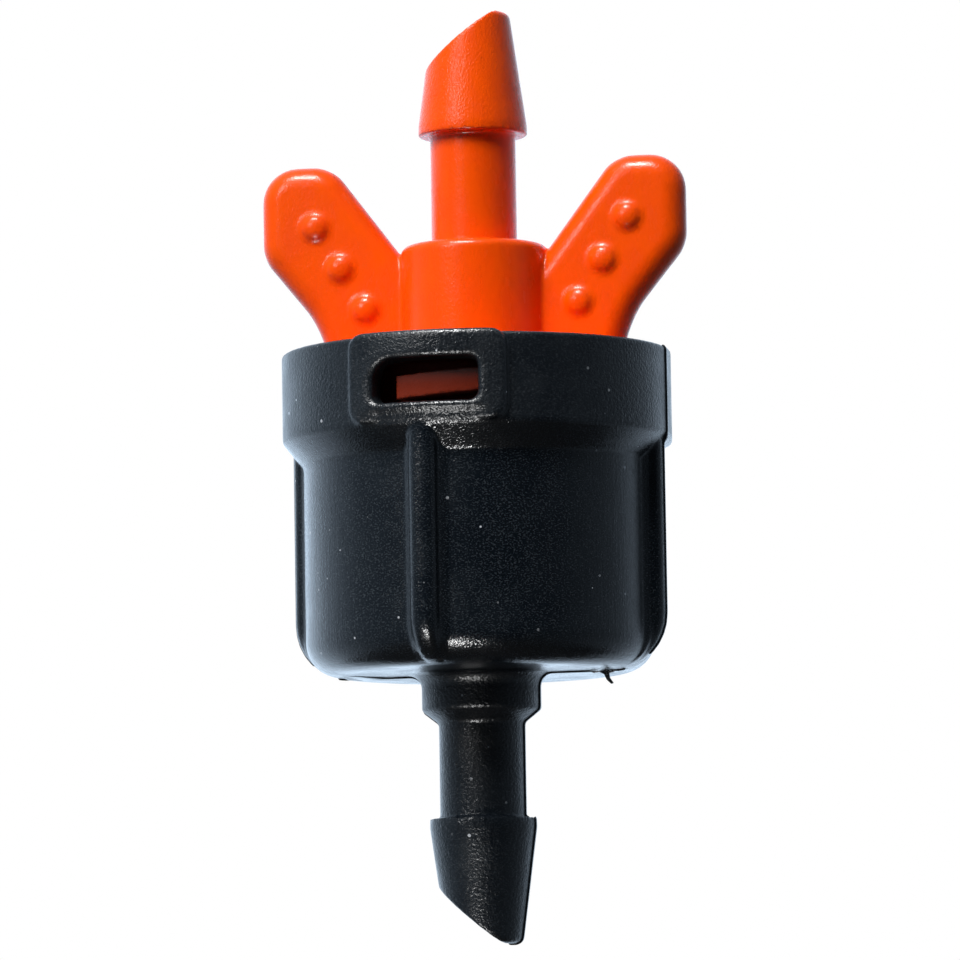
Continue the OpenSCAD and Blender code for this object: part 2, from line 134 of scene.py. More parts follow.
def turned(points, steps=144):
    """The outline spun all the way round the Z axis."""
    bm = outline(points)
    bmesh.ops.spin(bm, geom=bm.verts[:] + bm.edges[:], axis=(0, 0, 1), cent=(0, 0, 0),
                   dvec=(0, 0, 0), angle=2 * pi, steps=steps, use_merge=True,
                   use_normal_flip=False, use_duplicate=False)
    bmesh.ops.remove_doubles(bm, verts=bm.verts, dist=1e-4)
    bmesh.ops.recalc_face_normals(bm, faces=bm.faces)
    return bm


def sector(points, start, stop, rise=0):
    """The outline spun part of the way, from start to stop in degrees from the front
    towards +X, in steps of about 3 degrees, and lifted by rise on its way."""
    bm = outline(points)
    bmesh.ops.contextual_create(bm, geom=bm.edges[:])
    steps = max(2, round((stop - start) / 3))
    bmesh.ops.spin(bm, geom=bm.verts[:] + bm.edges[:] + bm.faces[:], axis=(0, 0, 1),
                   cent=(0, 0, 0), dvec=(0, 0, rise / steps), angle=radians(stop - start),
                   steps=steps, use_merge=False, use_normal_flip=False, use_duplicate=False)
    bmesh.ops.recalc_face_normals(bm, faces=bm.faces)
    turn(bm, start - 90)
    return bm


def plate(points, thickness):
    """The outline filled and pulled to a thickness, with the XZ plane in its middle."""
    bm = outline(points)
    bmesh.ops.contextual_create(bm, geom=bm.edges[:])
    side = bmesh.ops.extrude_face_region(bm, geom=bm.faces[:])["geom"]
    moved = [v for v in side if isinstance(v, bmesh.types.BMVert)]
    bmesh.ops.translate(bm, verts=moved, vec=(0, thickness, 0))
    bmesh.ops.translate(bm, verts=bm.verts, vec=(0, -thickness / 2, 0))
    bmesh.ops.recalc_face_normals(bm, faces=bm.faces)
    return bm


def turn(bm, angle):
    """Turns a shape about the Z axis, in degrees."""
    bmesh.ops.rotate(bm, verts=bm.verts, cent=(0, 0, 0),
                     matrix=Matrix.Rotation(radians(angle), 3, "Z"))
    return bm


def closed(bm):
    """True if every edge has two faces, as on a solid."""
    return all(e.is_manifold for e in bm.edges)


test = plate([(-1, -1), (1, -1, 0.4), (1, 1), (-1, 1)], 1)
print("a test plate has", len(test.faces), "faces and is closed:", closed(test))
test.free()

# %% [markdown]
# ## Tools for cutting and for fusing
#
# A moulded part is one skin with soft inner and outer corners. Drawn piece by piece it
# would have hard seams where a rib meets a wall. So windows and slots are cut by a Boolean,
# then all the overlapping shells are fused by a voxel Remesh, which wraps them in one
# skin. A Smooth modifier rounds that skin by a few tenths of a millimetre, and Decimate
# takes faces away where the skin is flat. Of the Boolean's solvers, Manifold needs closed
# shapes, and then gives the same faces each time.


# %% Cut and fuse
def as_object(bm, name):
    """Puts a bmesh into the scene as an object and lets the bmesh go."""
    mesh = bpy.data.meshes.new(name)
    bm.to_mesh(mesh)
    bm.free()
    thing = bpy.data.objects.new(name, mesh)
    scene.collection.objects.link(thing)
    return thing


def baked(thing):
    """The mesh of an object with its modifiers applied. The object is removed."""
    graph = bpy.context.evaluated_depsgraph_get()
    mesh = bpy.data.meshes.new_from_object(thing.evaluated_get(graph))
    old = thing.data
    bpy.data.objects.remove(thing)
    bpy.data.meshes.remove(old)
    return mesh


def boolean(bm, tools, operation="DIFFERENCE", solver="MANIFOLD"):
    """Cuts a shape by each of the tools, or keeps what they share."""
    thing = as_object(bm, "blank")
    helpers = [as_object(tool, "tool") for tool in tools]
    for helper in helpers:
        cut = thing.modifiers.new("cut", "BOOLEAN")
        cut.operation, cut.solver, cut.object = operation, solver, helper
    mesh = baked(thing)
    for helper in helpers:
        old = helper.data
        bpy.data.objects.remove(helper)
        bpy.data.meshes.remove(old)
    result = bmesh.new()
    result.from_mesh(mesh)
    bpy.data.meshes.remove(mesh)
    return result


def fused(name, shells, voxel, rounds, most_faces):
    """One smooth skin round overlapping shells, as an object in metres."""
    whole = bmesh.new()
    for shell in shells:
        mesh = bpy.data.meshes.new("shell")
        shell.to_mesh(mesh)
        shell.free()
        whole.from_mesh(mesh)
        bpy.data.meshes.remove(mesh)
    thing = as_object(whole, name)
    skin = thing.modifiers.new("skin", "REMESH")
    skin.mode, skin.voxel_size = "VOXEL", voxel
    soft = thing.modifiers.new("soft", "SMOOTH")
    soft.factor, soft.iterations = 0.5, rounds
    thing = bpy.data.objects.new(name, baked(thing))
    scene.collection.objects.link(thing)
    before = 2 * len(thing.data.polygons)
    thin = thing.modifiers.new("thin", "DECIMATE")
    thin.ratio = min(1, most_faces / before)
    mesh = baked(thing)
    mesh.transform(Matrix.Scale(0.001, 4))
    mesh.polygons.foreach_set("use_smooth", [True] * len(mesh.polygons))
    mesh.name = name
    piece = bpy.data.objects.new(name, mesh)
    scene.collection.objects.link(piece)
    print(name, "skin of", before, "triangles, thinned to", len(mesh.polygons))
    return piece


# %% [markdown]
# ## The turned body of the housing
#
# From the bottom up, the section runs from the outlet barb over its lip, up the thin shank
# to a thicker neck, out along the underside, up the wall, over a chamfer to the collar,
# and back down inside: the bore of the collar, the ledge that holds the rubber diaphragm,
# the spring chamber, and the tube in its middle that guides the piston. It is one closed
# outline, so one spin makes the outside and the inside together. The end of the barb is
# then cut at a slant by a plane, and the open cut is filled with triangles.

# %% Sizes of the housing
shank_r, flow_r, outlet_lip_r, outlet_nose_r = 2.2, 1.25, 2.725, 1.925
barb_len, barb_land, barb_cut_from, nose_round = 6.4, 0.5, 3.4, 0.35
shank_top_z, neck_r, neck_z, body_r, body_z = 4.9, 3.05, 5.55, 8.95, 7.4
chamfer_z, collar_z, rim_z, collar_r = 18.1, 19.4, 23.9, 10.0
bore_r, groove_r, ledge_z, chamber_r, chamber_z = 8.6, 9.3, 18.61, 7.4, 8.6
guide_r, guide_outer_r, guide_z, guide_top_z = 2.28, 3.21, 7.0, 15.71
neck_fillet, foot_round, collar_round, rim_round = 0.7, 1.7, 0.3, 0.15
outlet_slope, inlet_slope = 40, 38


def barb_cut(bm, lip_r, nose_r, lip_z, up, slope):
    """Cuts the end of a barb at a slope in degrees and fills the cut. Up is 1 or -1."""
    side = lip_r + (nose_r - lip_r) * (barb_cut_from - barb_land) / (barb_len - barb_land)
    slope = radians(slope)
    bmesh.ops.bisect_plane(
        bm, geom=bm.verts[:] + bm.edges[:] + bm.faces[:], dist=1e-5,
        plane_co=(-side, 0, lip_z + up * barb_cut_from),
        plane_no=(-sin(slope), 0, up * cos(slope)), clear_outer=True)
    rim = [e for e in bm.edges if e.is_boundary]
    bmesh.ops.triangle_fill(bm, edges=rim, use_beauty=True)
    bmesh.ops.recalc_face_normals(bm, faces=bm.faces)
    return bm


housing_wall = turned([
    (flow_r, -barb_len), (outlet_nose_r, -barb_len, nose_round), (outlet_lip_r, -barb_land),
    (outlet_lip_r, 0), (shank_r, 0), (shank_r, shank_top_z), (neck_r, neck_z),
    (neck_r, body_z, neck_fillet), (body_r, body_z, foot_round),
    (body_r, chamfer_z, collar_round), (collar_r, collar_z, collar_round),
    (collar_r, rim_z, rim_round), (bore_r, rim_z), (bore_r, ledge_z), (chamber_r, ledge_z),
    (chamber_r, chamber_z), (guide_outer_r, chamber_z), (guide_outer_r, guide_top_z),
    (guide_r, guide_top_z), (guide_r, guide_z), (flow_r, guide_z)])
barb_cut(housing_wall, outlet_lip_r, outlet_nose_r, 0, -1, outlet_slope)
print("housing wall:", len(housing_wall.faces), "faces, closed:", closed(housing_wall))

# %% [markdown]
# ## Ribs
#
# Four ribs stiffen the thin wall and give wet fingers a grip. Each is a plate, swept in at
# its foot to meet the underside, and rounded almost to a half circle across. The side ribs
# stand out 0.85 mm. The front and back ones grow out of the window frames, so they are
# deeper, and sit a shade off the middle of their window. A wider and lower plate behind
# each rib, with slanted sides, fills the corner between rib and wall, so that fusing leaves
# a fillet there. The outer edges are picked by where they lie, and bevelled.

# %% Ribs
rib_r, rib_w, rib_top_z, rib_foot, rib_edge = 9.8, 1.45, 19.9, 2.8, 0.6
front_rib_r, front_rib_foot, front_rib_turn = 9.95, 2.5, -1.9
fillet_r, fillet_w, fillet_foot, fillet_edge = body_r + 0.28, rib_w + 0.6, 2.0, 0.26
in_collar_r, in_wall_r, in_floor_r = 8.75, 7.9, 6.6


def rib(reach, width, foot, edge, segments):
    """A plate up the side at +X, swept in at its foot and bevelled along its outside.
    Its inner side is hidden in the collar, the wall and the floor."""
    low = body_z + 0.02
    bm = plate([(in_floor_r, low), (reach, low, foot), (reach, rib_top_z),
                (in_collar_r, rib_top_z), (in_collar_r, 18.0), (in_wall_r, 16.5),
                (in_wall_r, 8.3), (in_floor_r, 8.0)], width)
    centre = Vector((reach - foot, 0, low + foot))

    def outside(v):
        flat = Vector((v.co.x, 0, v.co.z))
        if v.co.z < centre.z - 1e-4:
            return (flat - centre).length > foot - 0.02 and v.co.x > centre.x - 1e-4
        return v.co.x > reach - 1e-3

    rim = [e for e in bm.edges if all(outside(v) for v in e.verts)
           and abs(e.verts[0].co.y - e.verts[1].co.y) < 1e-6]
    bmesh.ops.bevel(bm, geom=rim, offset=edge, offset_type="OFFSET", affect="EDGES",
                    segments=segments, profile=0.5, material=-1, clamp_overlap=False)
    return bm


ribs = []
for quarter in range(4):
    reach, foot, side = rib_r, rib_foot, 90 * quarter
    if quarter % 2:
        reach, foot, side = front_rib_r, front_rib_foot, side + front_rib_turn
    ribs.append(turn(rib(reach, rib_w, foot, rib_edge, 8), side))
    ribs.append(turn(rib(fillet_r, fillet_w, fillet_foot, fillet_edge, 1), side))
print("ribs:", len(ribs), "plates, all closed:", all(closed(r) for r in ribs))

# %% [markdown]
# ## Windows and their frames
#
# A window on each side of the collar lets out the core that forms the bayonet's groove,
# and shows the orange lug when the cap is locked. A raised frame gives back the strength
# that the hole takes. The frame is made flat, where its edges are easy to bevel: two
# outlines are bridged to a ring and the ring is pulled to a thickness. Then it is sliced
# into narrow strips and bent round the collar, point by point. On the way its bar is slanted
# back below the window's sill. The hole in the wall is cut by a plug bent in the same way.

# %% Window frames
window_w, window_h, frame_w, frame_h = 5.65, 2.2, 8.45, 4.6
window_corners, frame_corners = (0.45, 0.5, 0.5, 1.15), (0.8,) * 4
frame_r, frame_depth, frame_edge, hole_edge = collar_r + 0.35, 0.85, 0.28, 0.3
groove_z, groove_top_z = 20.45, 22.55
window_mid_z = (groove_z + groove_top_z) / 2 + 0.05
frame_mid_z = rim_z + 0.15 - frame_h / 2
strip_w = 0.25
slant_z = window_mid_z - window_h / 2 - 0.22
slant_h, slant_half_w, slant_fade = 0.42, 3.5, 1.0


def box_outline(width, height, middle, corners):
    """A rectangle at that height, with a radius for each corner from the low left round."""
    x, low, high = width / 2, middle - height / 2, middle + height / 2
    return [(-x, low, corners[0]), (x, low, corners[1]), (x, high, corners[2]),
            (-x, high, corners[3])]


def bent(bm, front_y=0, slant=0.0):
    """Slices a flat plate and bends it round the Z axis, its front to the frame's radius.
    A slant lets its front fall back below the sill, but only as wide as the window."""
    for i in range(-20, 21):
        bmesh.ops.bisect_plane(bm, geom=bm.verts[:] + bm.edges[:] + bm.faces[:], dist=1e-4,
                               plane_co=(i * strip_w, 0, 0), plane_no=(1, 0, 0))
    for i in range(6 if slant else 0):
        bmesh.ops.bisect_plane(bm, geom=bm.verts[:] + bm.edges[:] + bm.faces[:], dist=1e-4,
                               plane_co=(0, 0, slant_z - 0.1 * i), plane_no=(0, 0, 1))
    for v in bm.verts:
        share = min(1, max(0, (slant_half_w - abs(v.co.x)) / slant_fade))
        if v.co.y < frame_depth / 2:
            v.co.y += slant * share * min(slant_h, max(0, slant_z - v.co.z))
        angle, depth = asin(v.co.x / frame_r), frame_r - v.co.y + front_y
        v.co.x, v.co.y = depth * sin(angle), -depth * cos(angle)
    return bm


def ring_plate(outer, inner, thickness):
    """A plate between two outlines, its front at y = 0."""
    bm = outline(outer)
    hole = outline(inner)
    mesh = bpy.data.meshes.new("hole")
    hole.to_mesh(mesh)
    bm.from_mesh(mesh)
    bpy.data.meshes.remove(mesh)
    hole.free()
    bmesh.ops.bridge_loops(bm, edges=bm.edges[:])
    back = bmesh.ops.extrude_face_region(bm, geom=bm.faces[:])["geom"]
    moved = [v for v in back if isinstance(v, bmesh.types.BMVert)]
    bmesh.ops.translate(bm, verts=moved, vec=(0, thickness, 0))
    bmesh.ops.recalc_face_normals(bm, faces=bm.faces)
    return bm


def front_edges(bm, inside):
    """The edges round the front of a ring plate, of its hole or of its outside."""
    def in_hole(v):
        return (abs(v.co.x) < window_w / 2 + 0.01
                and abs(v.co.z - window_mid_z) < window_h / 2 + 0.01)
    return [e for e in bm.edges if e.calc_face_angle(0) > 1
            and all(abs(v.co.y) < 1e-5 and in_hole(v) == inside for v in e.verts)]


window_frame = ring_plate(box_outline(frame_w, frame_h, frame_mid_z, frame_corners),
                          box_outline(window_w, window_h, window_mid_z, window_corners),
                          frame_depth)
for inside, soft in ((False, frame_edge), (True, hole_edge)):
    bmesh.ops.bevel(window_frame, geom=front_edges(window_frame, inside), offset=soft,
                    offset_type="OFFSET", affect="EDGES", segments=5, profile=0.5,
                    material=-1, clamp_overlap=True)
bent(window_frame, slant=0.65)
print("frame:", len(window_frame.faces), "faces, closed:", closed(window_frame))

# %% [markdown]
# ## The bayonet
#
# The cap drops in with its two lugs in two slots of the collar, then turns until each lug
# stands behind a window. Each lug runs in a groove inside the collar. Slot and groove are
# parts of a ring, so each cutter is an outline spun part of the way round. A narrow notch
# lets air out of the spring chamber, past the diaphragm's rim.

# %% Cutters
lug_from, lug_to, unlock_turn, slot_margin = -10.8, 39.2, 65, 2
groove_from, groove_to, slot_r, tool_r = -18.2, 107, groove_r - 0.05, 7.8
vent_w, vent_len = 0.8, 2.3


def window_plug():
    """A plug a hair narrower than the window, from inside the bore to outside the frame."""
    plug = plate(box_outline(window_w - 0.02, window_h, window_mid_z, window_corners), 3.2)
    return bent(plug, front_y=-0.6)


def groove_tool():
    """The way that a lug turns in, from under its slot to past the window."""
    return sector([(tool_r, groove_z), (groove_r, groove_z), (groove_r, groove_top_z),
                   (tool_r, groove_top_z)], groove_from, groove_to)


def slot_tool():
    """The way that a lug drops in by, from the rim down to the groove."""
    middle, above = (groove_z + groove_top_z) / 2, rim_z + 0.2
    return sector([(tool_r, middle), (slot_r, middle), (slot_r, above), (tool_r, above)],
                  lug_from + unlock_turn - slot_margin, lug_to + unlock_turn + slot_margin)


def vent_tool():
    """The notch in the wall of the bore, from below the ledge up to the groove."""
    bm = bmesh.new()
    bmesh.ops.create_cube(bm, size=1)
    bmesh.ops.scale(bm, verts=bm.verts, vec=(vent_w, vent_len, groove_z - ledge_z + 0.9))
    bmesh.ops.translate(bm, verts=bm.verts, vec=(0, -7.75, (groove_z + ledge_z) / 2 - 0.35))
    return bm


cutters = [turn(make(), side) for side in (0, 180)
           for make in (window_plug, groove_tool, slot_tool, vent_tool)]
print("cutters closed:", [closed(c) for c in cutters])
housing_wall = boolean(housing_wall, cutters)
print("cut wall:", len(housing_wall.faces), "faces, closed:", closed(housing_wall))

# %% [markdown]
# ## One skin, and the line where the mould halves meet
#
# The housing comes from two mould halves that meet in the XZ plane. The back half has a
# small square pad under the collar, beside the right rib. The halves never meet quite
# true, so the back one stands proud by 0.08 mm, which shows as a fine line up the side and
# across the underside. The skin is too coarse to hold such a step, so it is cut in
# afterwards: planes give it new rows of points along the line, and the rows behind the line
# are pushed out, less and less away from it.

# %% Fuse the housing and step it
pad_in_r, pad_z, pad_top_z, pad_from, pad_to = 8.7, 18.98, 20.0, 90.3, 108
step_h, step_reach, step_rows = 0.00008, 0.0012, (-0.00004, 0.0, 0.00001, 0.00005)

pad = sector([(pad_in_r, pad_z), (collar_r, pad_z, collar_round), (collar_r, pad_top_z),
              (pad_in_r, pad_top_z)], pad_from, pad_to)
shells = [housing_wall, window_frame, turn(window_frame.copy(), 180), pad] + ribs
housing = fused("housing_moulding", shells, voxel=0.1, rounds=4, most_faces=180000)


def step_back_half(piece, step, reach):
    """Lets the back half of a moulding stand proud at the XZ plane, in metres. Only its
    outside is moved: the wall at the sides and the underside."""
    bm = bmesh.new()
    bm.from_mesh(piece.data)
    for y in step_rows:
        near = [f for f in bm.faces if min(abs(v.co.y - y) for v in f.verts) < 0.0004]
        edges = {e for f in near for e in f.edges}
        points = {v for f in near for v in f.verts}
        bmesh.ops.bisect_plane(bm, geom=list(points) + list(edges) + near, dist=1e-8,
                               plane_co=(0, y, 0), plane_no=(0, 1, 0))
    bm.normal_update()
    pushed = []
    for v in bm.verts:
        if 0.000005 < v.co.y < reach:
            under = v.co.z < (body_z + 0.05) / 1000
            outer = v.normal.x * v.co.x > 0.3 * abs(v.co.x) or (under and v.normal.z < -0.3)
            if outer and (under or abs(v.co.x) > 0.0089):
                pushed.append((v, v.normal * step * (1 - v.co.y / reach) ** 2))
    for v, offset in pushed:
        v.co += offset
    bmesh.ops.triangulate(bm, faces=[f for f in bm.faces if len(f.verts) > 3])
    bm.to_mesh(piece.data)
    bm.free()
    return len(pushed)


print("points in the step:", step_back_half(housing, step_h, step_reach),
      "triangles:", len(housing.data.polygons))
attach(housing, "housing")
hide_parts("housing")

# %% [markdown]
# ## A shred of flash
#
# Where the mould halves gape a little, the melt creeps between them and leaves flash, here
# a thin tongue with a whisker under the housing's foot. It is a plate cut from a ragged
# outline, with its root inside the housing, and it curls back as it hangs down.

# %% Flash
flash_t, flash_edge, curl, curl_z = 0.16, 0.05, 0.12, 7.3
flash = plate([(5.7, 7.7), (5.75, 7.36), (5.95, 7.26, 0.05), (6.25, 7.3), (6.5, 7.18, 0.04),
               (6.62, 6.9), (6.85, 6.68, 0.04), (6.98, 6.72, 0.04), (6.8, 6.98),
               (6.76, 7.22, 0.04), (7.05, 7.3), (7.2, 7.4, 0.05), (7.25, 7.75)], flash_t)
rim = [e for e in flash.edges if abs(e.verts[0].co.y - e.verts[1].co.y) < 1e-6]
bmesh.ops.bevel(flash, geom=rim, offset=flash_edge, offset_type="OFFSET", affect="EDGES",
                segments=2, profile=0.5, material=-1, clamp_overlap=True)
for v in flash.verts:
    v.co.y += curl * max(0, curl_z - v.co.z)
bmesh.ops.scale(flash, verts=flash.verts, vec=(0.001, 0.001, 0.001))
print("flash:", len(flash.faces), "faces, closed:", closed(flash))
flash = as_object(flash, "mould_flash")
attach(flash, "housing")

# %% [markdown]
# ## The turned part of the cap
#
# The cap is a plug with a skirt that presses the diaphragm's rim on its ledge, a hub, a
# shank and the inlet barb, with the flow bore through all of them. Its barb is cut at a
# slant like the other one. Behind the windows the plug is undercut, so that only the lugs
# reach out into the groove.

# %% Cap body
plug_r, plug_z, skirt_r, skirt_z = 8.5, 23.6, 6.9, 19.85
hub_r, hub_z, inlet_z, inlet_lip_r, inlet_nose_r = 3.8, 29.5, 35.2, 2.8, 1.975
undercut_r, undercut_z, undercut_top_z = 7.55, groove_z - 0.25, groove_top_z + 0.15
hub_bore_r, hub_roof_z, recess_r, recess_z, seat_z = 2.4, 28.3, 5.0, 22.6, 22.07
skirt_round, plug_round, hub_round, wing_turn = 0.1, 0.15, 0.45, 5.5

cap_body = turned([
    (skirt_r, skirt_z), (plug_r, skirt_z, skirt_round), (plug_r, undercut_z),
    (undercut_r, undercut_z), (undercut_r, undercut_top_z), (plug_r, undercut_top_z),
    (plug_r, plug_z, plug_round), (hub_r, plug_z), (hub_r, hub_z, hub_round),
    (shank_r, hub_z), (shank_r, inlet_z), (inlet_lip_r, inlet_z),
    (inlet_lip_r, inlet_z + barb_land), (inlet_nose_r, inlet_z + barb_len, nose_round),
    (flow_r, inlet_z + barb_len), (flow_r, hub_roof_z), (hub_bore_r, hub_roof_z),
    (hub_bore_r, recess_z), (recess_r, recess_z), (recess_r, seat_z), (skirt_r, seat_z)])
barb_cut(cap_body, inlet_lip_r, inlet_nose_r, inlet_z, 1, inlet_slope)
turn(cap_body, wing_turn)
print("cap body:", len(cap_body.faces), "faces, closed:", closed(cap_body))

# %% [markdown]
# ## Wings
#
# Two wings turn the cap. Each is a plate cut from an outline with generous corner radii,
# and its rim is rounded almost to a half circle so that it doesn't hurt the fingers. Its
# root is hidden in the hub and the plug, and the root's edges stay sharp.

# %% Wings
wing_t, wing_edge, wing_top_z, wing_reach = 2.3, 1.12, 33.9, 11.05
root_x, root_z, foot_x, foot_z, inner_z = 3.0, 23.0, 7.62, 24.95, 29.1
wing_foot_r, wing_low_r, wing_top_r = 5.4, 1.9, 1.85
inner_lean, lower_lean = radians(36.9), radians(39)


def wing():
    """The wing at +X: an outline with round corners, its rim rounded too."""
    inner, lower = tan(inner_lean), tan(lower_lean)
    bm = plate([(root_x, root_z), (foot_x, root_z), (foot_x, foot_z, wing_foot_r),
                (wing_reach, foot_z + (wing_reach - foot_x) / lower, wing_low_r),
                (wing_reach, wing_top_z, wing_top_r),
                (hub_r + (wing_top_z - inner_z) * inner, wing_top_z, wing_top_r),
                (root_x, inner_z - (hub_r - root_x) / inner)], wing_t)
    rim = [e for e in bm.edges if abs(e.verts[0].co.y - e.verts[1].co.y) < 1e-6
           and max(v.co.x for v in e.verts) > root_x + 0.01
           and max(v.co.z for v in e.verts) > root_z + 0.01]
    bmesh.ops.bevel(bm, geom=rim, offset=wing_edge, offset_type="OFFSET", affect="EDGES",
                    segments=8, profile=0.5, material=-1, clamp_overlap=True)
    return bm


test = wing()
print("a wing has", len(test.faces), "faces and is closed:", closed(test))
test.free()

# %% [markdown]
# ## Bumps and lugs
#
# Three low domes on each face of a wing stop a wet finger from slipping, each on a flatter
# dome that softens its foot. Both are spheres flattened on the face, so that their lower
# half is lost in the wing. A lug is a short piece of a ring that rises as it goes round, so
# that turning it pulls the cap down.

# %% Bumps and lugs
bump_from_hub, bump_from_plug, bump_pitch, bump_lean = 1.75, 2.7, 2.52, radians(31)
bump_sizes = ((0.68, 0.36), (0.88, 0.12))
lug_t, lug_ramp, lug_r, lug_in_r, lug_play = 1.22, radians(4.4), 9.2, 7.3, 0.06


def dome(face, row, radius, height):
    """A dome on a face of the wing at +X, its lower half inside the wing."""
    bm = bmesh.new()
    bmesh.ops.create_icosphere(bm, subdivisions=4, radius=radius)
    bmesh.ops.scale(bm, verts=bm.verts, vec=(1, height / radius, 1))
    bmesh.ops.translate(bm, verts=bm.verts, vec=(
        hub_r + bump_from_hub + row * bump_pitch * sin(bump_lean), face * wing_t / 2,
        plug_z + bump_from_plug + row * bump_pitch * cos(bump_lean)))
    return bm


def lug():
    """The lug that the front window shows. Its high end bears up under the collar."""
    rise = 2 * lug_r * sin(radians((lug_to - lug_from) / 2)) * tan(lug_ramp)
    top = groove_top_z - lug_play - rise
    return sector([(lug_in_r, top - lug_t), (lug_r, top - lug_t), (lug_r, top),
                   (lug_in_r, top)], lug_from, lug_to, rise)


test = lug()
print("a lug has", len(test.faces), "faces and is closed:", closed(test))
test.free()

# %% [markdown]
# ## One skin for the cap
#
# The shells of the cap overlap as the housing's do, and are fused in the same way. Its
# voxels are a little finer, because its bumps are the smallest form that has to last.

# %% Fuse the cap
shells = [cap_body]
for side in (0, 180):
    shells += [turn(wing(), side + wing_turn), turn(lug(), side)]
    shells += [turn(dome(face, row, *size), side + wing_turn) for face in (-1, 1)
               for row in range(3) for size in bump_sizes]
print("cap shells:", len(shells), "all closed:", all(closed(s) for s in shells))
cap = fused("cap_moulding", shells, voxel=0.09, rounds=4, most_faces=160000)
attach(cap, "cap")
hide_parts("cap")

# %% [markdown]
# ## The two pieces that give
#
# When the pressure drops, the spring lifts the piston by 1.2 mm and the diaphragm rolls with
# it. Both CAD shapes are right, but a rigid piece can't follow, so copies stand in for them.
# The diaphragm is parted at the bottom of its loop, and its rim stays in the housing. A
# copied mesh may have a fault that Manifold would refuse, so the Exact solver parts it.

# %% Spring and diaphragm
stroke, spring_seat_z, loop_r, loop_z, disc_z = 1.2, 8.6, 6.2, 17.73, 18.23


def from_cad(node):
    """A copy of a CAD node's mesh in millimetres, its loose triangles merged."""
    bm = bmesh.new()
    bm.from_mesh(frame["nodes"][node].data)
    bmesh.ops.remove_doubles(bm, verts=bm.verts, dist=1e-6)
    bmesh.ops.scale(bm, verts=bm.verts, vec=(1000, 1000, 1000))
    return bm


def post(radius):
    """A round post on the axis, taller than the emitter."""
    bm = bmesh.new()
    bmesh.ops.create_cone(bm, cap_ends=True, segments=144, radius1=radius, radius2=radius,
                          depth=60)
    return bm


def give(bm, name, node):
    """Puts a piece in metres into the scene, in place of a CAD node."""
    bmesh.ops.scale(bm, verts=bm.verts, vec=(0.001, 0.001, 0.001))
    print(name, "faces:", len(bm.faces), "closed:", closed(bm))
    piece = as_object(bm, name)
    piece.data.polygons.foreach_set("use_smooth", [True] * len(piece.data.polygons))
    piece.data.set_sharp_from_angle(angle=radians(35))
    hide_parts(node)
    return piece


coil = give(from_cad("return_spring"), "spring_coil", "return_spring")
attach(coil, "housing")
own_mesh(coil)
rim_half = give(boolean(from_cad("diaphragm"), [post(loop_r)], solver="EXACT"),
                "diaphragm_rim", "diaphragm")
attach(rim_half, "housing")
hub_half = give(boolean(from_cad("diaphragm"), [post(loop_r)], "INTERSECT", "EXACT"),
                "diaphragm_hub", "diaphragm")
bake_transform(hub_half)

# %% [markdown]
# ## Finishes
#
# Every finish starts from the same shader. A helper adds a node with its settings and
# wires its inputs, so that each finish reads as a short list. All patterns use Object
# coordinates, which are metres here, so the size of a grain is a real size.


# %% Node helpers
def add(tree, kind, inputs={}, **settings):
    """A new node. An input is a plain value or the output of another node."""
    new = tree.nodes.new("ShaderNode" + kind)
    for key, value in settings.items():
        setattr(new, key, value)
    for key, value in inputs.items():
        if isinstance(value, bpy.types.NodeSocket):
            tree.links.new(value, new.inputs[key])
        else:
            new.inputs[key].default_value = value
    return new


def finish(name, **uniform):
    """A material, its node tree, its shader and its Object coordinates."""
    material = bpy.data.materials.new(name)
    material.use_nodes = True
    tree = material.node_tree
    shader = tree.nodes["Principled BSDF"]
    for key, value in uniform.items():
        shader.inputs[key.replace("_", " ")].default_value = value
    return material, tree, shader, add(tree, "TexCoord").outputs["Object"]


def noise(tree, place, size, stretch=(1, 1, 1), detail=2.0):
    """Noise with features of a size in metres, squeezed along each axis."""
    scaled = add(tree, "VectorMath", {0: place, 1: stretch}, operation="MULTIPLY")
    return add(tree, "TexNoise", {"Vector": scaled.outputs[0], "Scale": 1 / size,
                                  "Detail": detail}).outputs["Fac"]


def ramp(tree, value, low, high, at_low=0.0, at_high=1.0):
    """The value between two limits, stretched to another pair."""
    return add(tree, "MapRange", {"Value": value, "From Min": low, "From Max": high,
                                  "To Min": at_low, "To Max": at_high}).outputs["Result"]


def math(tree, operation, a, b=0.0):
    return add(tree, "Math", {0: a, 1: b}, operation=operation).outputs[0]


def blend(tree, share, a, b):
    """Mixes two colours, or two colour outputs."""
    return add(tree, "Mix", {"Factor": share, 6: a, 7: b}, data_type="RGBA").outputs[2]


def bump(tree, height, depth, under=None):
    """Relief of a depth in metres. It can lie on another relief."""
    node = add(tree, "Bump", {"Height": height, "Distance": depth})
    if under is not None:
        tree.links.new(under, node.inputs["Normal"])
    return node.outputs["Normal"]


# %% [markdown]
# ## Black housing plastic
#
# The housing's mould was spark-eroded, which leaves a fine grain, so that a highlight
# breaks up into bright points, and the dark faces show pale ones. It is coarser on the
# collar and the spout. Polishing has drawn it out along the axis on the walls, and round
# the axis on the cone under the collar. Some white dust sits on it, in specks of many
# sizes, one to a Voronoi cell.

# %% Black plastic
grain_size, pebble_size, streak_size, dust_cell = 0.00009, 0.00017, 0.00012, 0.00085
patch_size, pale_size = 0.0018, 0.00011
collar_band, spout_band = (0.0192, 0.0196), (0.0071, 0.0075)
black_deep, black_light = (0.0028, 0.0048, 0.0075, 1), (0.0042, 0.0068, 0.0098, 1)
black_pale, dust_white = (0.0260, 0.0310, 0.0360, 1), (0.6, 0.62, 0.65, 1)


